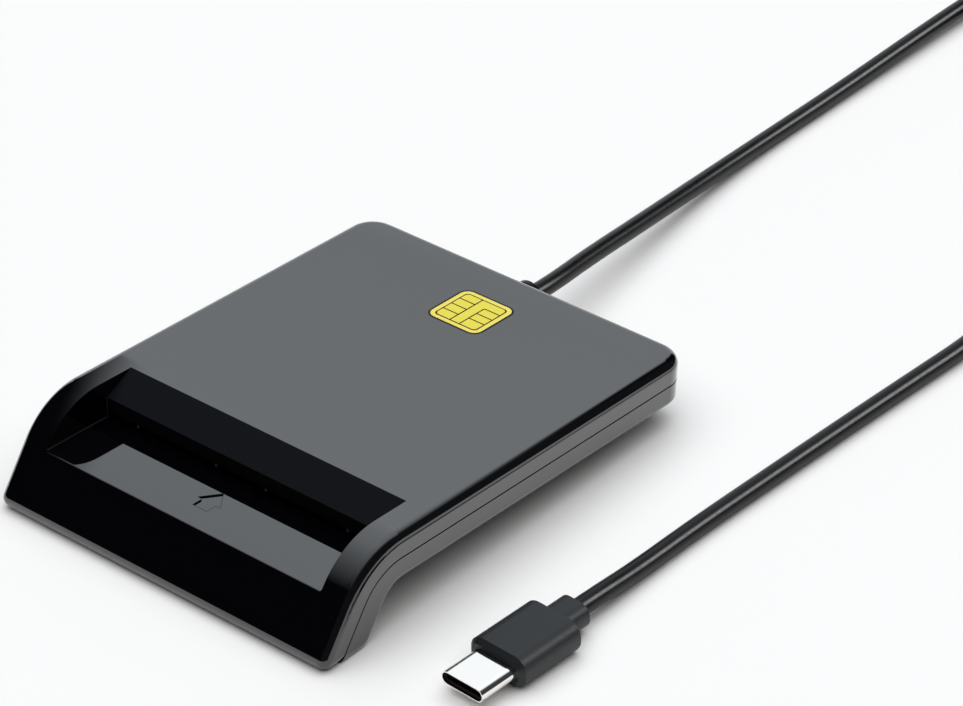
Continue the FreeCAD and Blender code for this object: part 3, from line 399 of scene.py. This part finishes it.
class READER_OT_shelf(bpy.types.Operator):
    """Makes the card shelf with the arrow sunk into its face, and a grey line along the arrow's near rim as a
    painted highlight on its edge
    """

    bl_idname = "reader.shelf"
    bl_label = "Card shelf"

    def execute(self, context):
        measures = sizes()
        lean = 1 / math.tan(measures.front_angle)
        half = measures.shelf_width / 2
        profile = [(measures.shelf_under * lean, measures.shelf_under),
                   (measures.shelf_rear, measures.shelf_under), (measures.shelf_rear, measures.shelf)]
        reach = measures.shelf_lip / math.tan((math.pi - measures.front_angle) / 2)
        middle = Vector((measures.shelf * lean + reach, measures.shelf - measures.shelf_lip))
        for step in range(LIP_STEPS + 1):
            angle = math.pi / 2 + measures.front_angle * step / LIP_STEPS
            profile.append((middle.x + measures.shelf_lip * math.cos(angle),
                            middle.y + measures.shelf_lip * math.sin(angle)))

        shape = bmesh.new()
        rings = [[shape.verts.new((x, y, z)) for y, z in profile] for x in (-half, half)]
        count = len(profile)
        for index in range(count):
            after = (index + 1) % count
            if index != 2:
                shape.faces.new((rings[0][index], rings[0][after], rings[1][after], rings[1][index]))
        shape.faces.new(rings[0][::-1])
        shape.faces.new(rings[1])

        base = measures.arrow_tip - measures.arrow_length
        neck = measures.arrow_tip - measures.arrow_head
        wide = measures.arrow_width / 2
        slim = measures.arrow_shaft / 2
        arrow = [(0, measures.arrow_tip), (-wide, neck), (-slim, neck), (-slim, base),
                 (slim, base), (slim, neck), (wide, neck)]
        upper = [shape.verts.new((x, y, measures.shelf)) for x, y in arrow]
        lower = [shape.verts.new((x, y, measures.shelf - measures.arrow_depth)) for x, y in arrow]
        shape.faces.new(lower)
        rim = []
        for index in range(len(arrow)):
            after = (index + 1) % len(arrow)
            shape.faces.new((upper[index], upper[after], lower[after], lower[index]))
            rim.append(shape.edges.get((upper[index], upper[after])))
        border = (rings[0][2], rings[0][3], rings[1][3], rings[1][2])
        for index in range(4):
            rim.append(shape.edges.get((border[index], border[(index + 1) % 4])))
        bmesh.ops.triangle_fill(shape, use_beauty=True, edges=rim)
        bmesh.ops.recalc_face_normals(shape, faces=shape.faces)
        # Dull grey plates along the near rim of the arrow: a painted highlight on its edge
        near_rim = [arrow[index] for index in (3, 4, 5, 6, 0)]
        for (x0, y0), (x1, y1) in zip(near_rim, near_rim[1:]):
            across = Vector((y1 - y0, x0 - x1)).normalized() * measures.arrow_rim_highlight
            line = [(x0, y0), (x0 + across.x, y0 + across.y), (x1 + across.x, y1 + across.y), (x1, y1)]
            add_plate(shape, line[::-1], measures.shelf - measures.ink, measures.shelf + measures.ink, 1)
        finishes = [polished_abs("polished_moulded_shelf", 0.8),
                    dull_abs("rim_painted_highlight", colours().rim_edge_highlight)]
        piece = settle(shape, "card_shelf", finishes)
        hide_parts("card_tray")
        return {"FINISHED"}


# Mouth: sides of its section that belong to the wall, and the share of its depth under the cover plates
WALL_FACES = (2, 3)
COVER_SHARE = 0.5


class READER_OT_mouth(bpy.types.Operator):
    """Lines the sloped face and the wall of the mouth, the wall in a darker painted shade, and adds its beads
    and lead-in pips, whose paler colours are painted highlights and glints
    """

    bl_idname = "reader.mouth"
    bl_label = "Card mouth"

    def execute(self, context):
        measures = sizes()
        half = measures.mouth_width / 2
        skin = measures.lining
        slope = math.atan2(measures.mouth_fall, measures.mouth_run)
        wall = measures.mouth_rear - measures.mouth_run
        corner = measures.top - measures.mouth_fall
        slot = measures.shelf + measures.slot
        section = [(measures.mouth_rear, measures.top),
                   (measures.mouth_rear - skin / math.sin(slope), measures.top),
                   (wall - skin, corner + skin * (1 - math.sin(slope)) / math.cos(slope)),
                   (wall - skin, slot), (wall, slot), (wall, corner)]
        shape = bmesh.new()
        rings = [[shape.verts.new((x, y, z)) for y, z in section] for x in (-half, half)]
        for index in range(len(section)):
            after = (index + 1) % len(section)
            face = shape.faces.new((rings[0][index], rings[0][after], rings[1][after], rings[1][index]))
            face.material_index = 1 if index in WALL_FACES else 0
        shape.faces.new(rings[0][::-1])
        shape.faces.new(rings[1])
        bmesh.ops.recalc_face_normals(shape, faces=shape.faces)

        # Thin plates over the parting gap on the inner faces of the cheeks
        highlight_bead = measures.highlight_bead
        polished = bpy.data.materials["polished_moulded_ABS"]
        cover = (skin, COVER_SHARE * wall, corner - slot)
        middle = (1 - COVER_SHARE / 2) * wall - highlight_bead
        add_bars(shape, 2, (2 * half - skin, 0.0, 0.0), cover,
                 (skin / 2 - half, middle, measures.shelf + highlight_bead + cover[2] / 2), polished, 2)
        # The wall's skin is a darker copy of the slope's skin: painted shade of the cavity
        finishes = [dull_abs("etched_moulded_slope", colours().lining),
                    dull_abs("etched_wall_painted_shade", colours().wall), polished]
        settle(shape, "mouth_lining_with_painted_shade", finishes)

        # Beads along the foot and the upright corners of the mouth, grey as painted highlight lines on those
        # edges, and pips over the slot, pale as painted glints
        front = measures.shelf / math.tan(measures.front_angle) + measures.shelf_lip
        grey = dull_abs("bead_painted_highlight", colours().highlight_bead)
        pale = dull_abs("pip_painted_glint", colours().glint_pip)
        shape = bmesh.new()
        apart = (2 * half - highlight_bead, 0.0, 0.0)
        left = highlight_bead / 2 - half
        add_bars(shape, 2, apart, (highlight_bead, wall - front, highlight_bead),
                 (left, (wall + front) / 2, measures.shelf + highlight_bead / 2), grey, 0)
        add_bars(shape, 2, apart, (highlight_bead, highlight_bead, corner - measures.shelf - highlight_bead),
                 (left, wall - highlight_bead / 2, (corner + measures.shelf + highlight_bead) / 2), grey, 0)
        # Lead-in pips, their pale colour a painted glint
        glint_pip = (measures.glint_pip, measures.glint_pip / 2, measures.glint_pip)
        for place in (measures.pip_inner, measures.pip_outer):
            add_bars(shape, 2, (2 * place, 0.0, 0.0), glint_pip, (-place, wall, slot - measures.glint_pip / 2), pale, 1)
        settle(shape, "mouth_beads_and_pips_painted_highlights", [grey, pale])
        return {"FINISHED"}


# Lines of the chip symbol, as shares of its contact field
SYMBOL_COLUMN = 0.38
SYMBOL_STEM = 0.765
LEFT_PITCH = 0.255
RIGHT_PITCH = 0.24
RIGHT_START = 0.285


class READER_OT_symbol(bpy.types.Operator):
    """Prints the chip contact symbol on the top face"""

    bl_idname = "reader.symbol"
    bl_label = "Chip symbol"

    def execute(self, context):
        measures = sizes()
        palette = colours()
        inks = [printed_ink("printed_line_ink", palette.line), printed_ink("printed_pale_ink", palette.pale),
                printed_ink("printed_yellow_ink", palette.yellow)]
        shape = bmesh.new()
        side = measures.symbol_side
        corner = measures.symbol_corner
        line = measures.symbol_line
        ink = measures.ink
        border = 1.5 * line
        insets = (0.0, border, border + measures.symbol_rim, border + line + measures.symbol_rim)
        for layer, (inset, colour) in enumerate(zip(insets, (0, 1, 0, 2)), start=1):
            outline = rounded_square(side - 2 * inset, max(corner - inset, 3 * line))
            add_plate(shape, outline, 0.0, layer * ink, colour)
        field = side - 2 * insets[-1]
        height = 2 * (len(insets) + 1) * ink

        column = SYMBOL_COLUMN * field
        low = -field / 2
        tall = SYMBOL_STEM * field
        for count, pitch, length, width, x, y in (
                (3, LEFT_PITCH * field, column, line, low + column / 2, low + LEFT_PITCH * field),
                (3, RIGHT_PITCH * field, column, line, -low - column / 2, low + RIGHT_START * field),
                (1, field, line, field, low + column, 0.0),
                (1, field, line, tall, -low - column, low + tall / 2)):
            add_bars(shape, count, (0.0, pitch, 0.0), (length, width, height), (x, y, 0.0), inks[0], 0)
        bmesh.ops.translate(shape, verts=shape.verts, vec=(0.0, measures.symbol_place, measures.top))
        settle(shape, "chip_symbol", inks)
        return {"FINISHED"}


class READER_OT_inside(bpy.types.Operator):
    """Finishes the board, the contacts and the other inner pieces"""

    bl_idname = "reader.inside"
    bl_label = "Inner pieces"

    def execute(self, context):
        moulding = black_moulding()
        gold = gold_plate()
        for node in ("contact_block", "controller_chip", "card_switch"):
            finish(node, moulding)
        for node in ("contact_springs", "switch_blade", "plug_contacts"):
            finish(node, gold)
        finish("circuit_board", solder_mask())
        finish("chip_capacitors", fired_ceramic())
        finish("cord_wires", wire_jacket())
        finish("board_screws", bpy.data.materials["zinc_plated_steel"])
        return {"FINISHED"}


class READER_OT_plug(bpy.types.Operator):
    """Finishes the plug and the crystal can"""

    bl_idname = "reader.plug"
    bl_label = "Plug"

    def execute(self, context):
        plate = nickel_plate()
        finish("plug_shell", plate)
        finish("crystal", plate)
        finish("plug_overmould", satin_grip())
        finish("plug_insulator", plug_insert())
        return {"FINISHED"}


# Cord in millimetres: its two stretches, the pieces it carries, and the coil between them
READER_ROUTE = [(0.0, 45.57, 8.24), (0.0, 50.56, 7.96), (-1.6, 62.12, 6.75), (-3.25, 78.74, 4.95),
                (-5.3, 98.06, 2.85), (-6.44, 119.17, 1.65), (-6.39, 143.17, 1.61), (-6.14, 172.17, 2.5),
                (-6.14, 190.17, 2.5)]
PLUG_ROUTE = [(35.36, 190.17, 5.7), (35.36, 172.17, 5.7), (39.71, 156.17, 2.2), (52.21, 130.17, 1.61),
              (59.91, 99.17, 1.6), (57.61, 63.17, 1.61), (56.21, 37.17, 1.6), (55.21, 17.17, 1.61),
              (55.16, 2.67, 1.9), (55.18, -7.32, 2.8), (54.91, -12.32, 2.8)]
COIL_MIDDLE = (14.61, 205.17)
COIL_OUTER = 20.75
COIL_INNER = 14.35
COIL_PITCH = 3.2
COIL_LOW = 2.5
COIL_HIGH = 5.7
COIL_STEPS = 16
COIL_TURNS = 5.5
CLIMB_START = 2.0
CLIMB_END = 2.75


def coil_points():
    """Turns of the coil: inwards on the desk, a climb, and outwards on top of them."""
    stretch = 1 / math.cos(math.pi / COIL_STEPS)
    points = []
    for step in range(1, int(COIL_TURNS * COIL_STEPS)):
        turn = step / COIL_STEPS
        if turn < CLIMB_END:
            radius = max(COIL_INNER, COIL_OUTER - COIL_PITCH * turn)
        else:
            radius = min(COIL_OUTER, COIL_INNER + COIL_PITCH * (turn - CLIMB_END))
        climbed = min(max((turn - CLIMB_START) / (CLIMB_END - CLIMB_START), 0.0), 1.0)
        height = COIL_LOW + (COIL_HIGH - COIL_LOW) * climbed
        angle = math.pi - 2 * math.pi * turn
        points.append((COIL_MIDDLE[0] + stretch * radius * math.cos(angle),
                       COIL_MIDDLE[1] + stretch * radius * math.sin(angle), height))
    return points


class READER_OT_cord(bpy.types.Operator):
    """Lays the cord from the reader through its tied coil to the plug"""

    bl_idname = "reader.cord"
    bl_label = "Cord"

    def execute(self, context):
        measures = sizes()
        jacket = cord_jacket()
        route = READER_ROUTE + coil_points() + PLUG_ROUTE
        line = bpy.data.curves.new("cord", "CURVE")
        line.dimensions = "3D"
        line.bevel_depth = measures.cord_diameter / 2
        line.bevel_resolution = 5
        line.resolution_u = 10
        line.use_fill_caps = True
        spline = line.splines.new("NURBS")
        spline.points.add(len(route) - 1)
        for point, place in zip(spline.points, route):
            point.co = (place[0] * MM, place[1] * MM, place[2] * MM, 1.0)
        spline.order_u = 3
        spline.use_endpoint_u = True
        line.materials.append(jacket)
        cord = bpy.data.objects.new("cord", line)
        context.collection.objects.link(cord)
        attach(cord, ROOT)
        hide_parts("cable_reader_side", "cable_coil", "cable_plug_side")
        finish("strain_relief", jacket)
        finish("coil_tie", bpy.data.materials["glass_filled_moulding"])
        return {"FINISHED"}


# Camera: place in metres, its three axes, and its lens in millimetres
EYE = Vector((0.345097, -0.384368, 0.361181))
EYE_RIGHT = Vector((0.77124543, 0.63653129, -0.00289799))
EYE_UP = Vector((-0.34924726, 0.42695871, 0.83410587))
EYE_BACK = Vector((0.53217181, -0.64228823, 0.55159677))
EYE_LENS = 146.91

# Lamps: strength and spread in degrees, with the way towards the two that light one piece each
OVERHEAD = (2.08, 100.0)
OVERHEAD_TINT = (1.0, 0.975, 0.955)
CORD_STRIP = (2.0, 26.0)
PLUG_STRIP = (1.0, 25.0)
STRIP_WAY = Vector((0.53, 0.65, 0.55))
FLOOR_REACH = 4.0

# Sky, by the X of a direction and by its height over the rear horizon in degrees
HEM_HEIGHT = 46.5
HEM_SAG = 50.0
HEM_SIDE = 0.07
HEM_SOFT = (-3.5, 3.0)
BORDER_HEIGHTS = (33.5, 37.0)
BORDER_SIDES = (-1.1, -0.6)
BORDER_SOFT = 0.007
RIGHT_SIDES = (0.05, 0.5)
CLOTH_FADES = ((33.2, 37.5, 1.0, 1.2), (37.5, 75.0, 1.0, 1.15), (75.0, 141.0, 1.0, 0.0))
LEFT_SIDES = (-0.6, -0.5)
LEFT_LEVELS = (0.91, 1.04)
WALL_HEIGHTS = (33.0, 37.0)
WALL_LEAN = 0.35
WALL_SIDES = (-0.21, -0.11)
CLOTH_LEVEL = 0.86
DIM_SIDES = (0.0, 0.3)
DIM_LEVELS = (0.008, 0.045)
SKY_TINT = (0.94, 1.0, 1.05, 1.0)


def studio_sky(tree):
    """Large soft cloth, bright overhead and to the rear, fading to the front and dark at the sides."""
    tree.nodes.clear()
    place = add_node(tree, "ShaderNodeTexCoord", {})
    way = add_node(tree, "ShaderNodeSeparateXYZ", {"Vector": place.outputs["Generated"]}).outputs

    def combine(operation, first, second):
        return add_node(tree, "ShaderNodeMath", {0: first, 1: second}, operation=operation).outputs["Value"]

    def ramp(value, low, high, start=0.0, end=1.0, kind="SMOOTHSTEP"):
        return add_node(tree, "ShaderNodeMapRange", {
            "Value": value, "From Min": low, "From Max": high, "To Min": start, "To Max": end},
            interpolation_type=kind).outputs["Result"]

    def degrees_ramp(value, low, high, start=0.0, end=1.0, kind="LINEAR"):
        return ramp(value, math.radians(low), math.radians(high), start, end, kind)

    height = combine("ARCTAN2", way["Z"], way["Y"])

    # Rear hem of the cloth, lower towards the left
    inward = combine("MAXIMUM", combine("SUBTRACT", HEM_SIDE, way["X"]), 0.0)
    sag = combine("MULTIPLY", combine("POWER", inward, 2.0), math.radians(HEM_SAG))
    hem = combine("SUBTRACT", math.radians(HEM_HEIGHT), sag)
    rear = degrees_ramp(combine("SUBTRACT", height, hem), *HEM_SOFT, kind="SMOOTHSTEP")

    # Left and right borders of the cloth, and its changes of level
    border = degrees_ramp(height, *BORDER_HEIGHTS, *BORDER_SIDES)
    left = ramp(combine("SUBTRACT", way["X"], border), -BORDER_SOFT, BORDER_SOFT)
    right = ramp(way["X"], *RIGHT_SIDES, 1.0, 0.0)
    cloth = combine("MULTIPLY", combine("MULTIPLY", rear, left), right)
    for fade in CLOTH_FADES:
        cloth = combine("MULTIPLY", cloth, degrees_ramp(height, *fade))
    cloth = combine("MULTIPLY", cloth, ramp(way["X"], *LEFT_SIDES, *LEFT_LEVELS, "LINEAR"))

    # Bright wall low on the left, and the dim rest of the room
    under = degrees_ramp(height, *WALL_HEIGHTS, 1.0, 0.0)
    slant = combine("ADD", way["X"], combine("MULTIPLY", way["Z"], WALL_LEAN))
    wall = combine("MULTIPLY", ramp(slant, *WALL_SIDES, 1.0, 0.0), under)
    dim = ramp(way["X"], *DIM_SIDES, *DIM_LEVELS)
    level = combine("ADD", combine("MULTIPLY", combine("MAXIMUM", cloth, wall), CLOTH_LEVEL), dim)
    light = add_node(tree, "ShaderNodeBackground", {"Color": SKY_TINT, "Strength": level})
    add_node(tree, "ShaderNodeOutputWorld", {"Surface": light.outputs["Background"]})


def add_lamp(name, energy, spread, toward):
    """Distant soft lamp, with its spread in degrees and the way towards it."""
    light = bpy.data.lights.new(name, "SUN")
    light.energy = energy
    light.angle = math.radians(spread)
    lamp = bpy.data.objects.new(name, light)
    bpy.context.collection.objects.link(lamp)
    lamp.rotation_euler = toward.to_track_quat("Z", "Y").to_euler()
    return lamp


class READER_OT_stage(bpy.types.Operator):
    """Sets the floor, the lights and the camera"""

    bl_idname = "reader.stage"
    bl_label = "Stage"

    def execute(self, context):
        scene = context.scene
        scene.view_settings.view_transform = "Standard"
        floor_mesh = bpy.data.meshes.new("floor")
        corners = [(x * FLOOR_REACH, y * FLOOR_REACH, 0) for x, y in ((-1, -1), (1, -1), (1, 1), (-1, 1))]
        floor_mesh.from_pydata(corners, [], [(0, 1, 2, 3)])
        floor = bpy.data.objects.new("floor", floor_mesh)
        context.collection.objects.link(floor)
        floor_mesh.materials.append(new_material("matte_studio_paper", colours().floor,
                                                 {"Roughness": 0.95, "Specular IOR Level": 0.1})[0])

        overhead = add_lamp("overhead", *OVERHEAD, Vector((0.0, 0.0, 1.0)))
        overhead.data.color = OVERHEAD_TINT
        overhead.visible_glossy = False
        for name, strip, piece in (("cord_strip", CORD_STRIP, bpy.data.objects["cord"]),
                                   ("plug_strip", PLUG_STRIP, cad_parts["plug_overmould"])):
            lit = bpy.data.collections.new(name)
            lit.objects.link(piece)
            add_lamp(name, *strip, STRIP_WAY).light_linking.receiver_collection = lit

        world = bpy.data.worlds.new("studio")
        world.use_nodes = True
        studio_sky(world.node_tree)
        scene.world = world

        lens = bpy.data.cameras.new("camera")
        lens.sensor_width = 36.0
        lens.sensor_fit = "HORIZONTAL"
        lens.lens = EYE_LENS
        lens.clip_start = 0.01
        camera = bpy.data.objects.new("camera", lens)
        context.collection.objects.link(camera)
        turn = Matrix((EYE_RIGHT, EYE_UP, EYE_BACK)).transposed().to_4x4()
        camera.matrix_world = Matrix.Translation(EYE) @ turn
        scene.camera = camera
        return {"FINISHED"}


class READER_PT_panel(bpy.types.Panel):
    """Lists the reader's pieces, sizes and colours"""

    bl_idname = "READER_PT_panel"
    bl_label = "Card reader"
    bl_space_type = "VIEW_3D"
    bl_region_type = "UI"
    bl_category = "Card reader"

    def draw(self, context):
        for operator in OPERATORS:
            self.layout.operator(operator.bl_idname)
        for group in (context.scene.reader_sizes, context.scene.reader_colours):
            column = self.layout.column(align=True)
            for name in group.__annotations__:
                column.prop(group, name)


OPERATORS = (READER_OT_housing, READER_OT_shelf, READER_OT_mouth, READER_OT_symbol, READER_OT_inside,
             READER_OT_plug, READER_OT_cord, READER_OT_stage)
CLASSES = (ReaderSizes, ReaderColours, *OPERATORS, READER_PT_panel)


def register():
    for item in CLASSES:
        bpy.utils.register_class(item)
    bpy.types.Scene.reader_sizes = bpy.props.PointerProperty(type=ReaderSizes)
    bpy.types.Scene.reader_colours = bpy.props.PointerProperty(type=ReaderColours)


def unregister():
    del bpy.types.Scene.reader_colours
    del bpy.types.Scene.reader_sizes
    for item in reversed(CLASSES):
        bpy.utils.unregister_class(item)


def main():
    register()
    bpy.ops.reader.housing()
    bpy.ops.reader.shelf()
    bpy.ops.reader.mouth()
    bpy.ops.reader.symbol()
    bpy.ops.reader.inside()
    bpy.ops.reader.plug()
    bpy.ops.reader.cord()
    bpy.ops.reader.stage()
    bpy.context.view_layer.update()


if __name__ == "__main__":
    main()
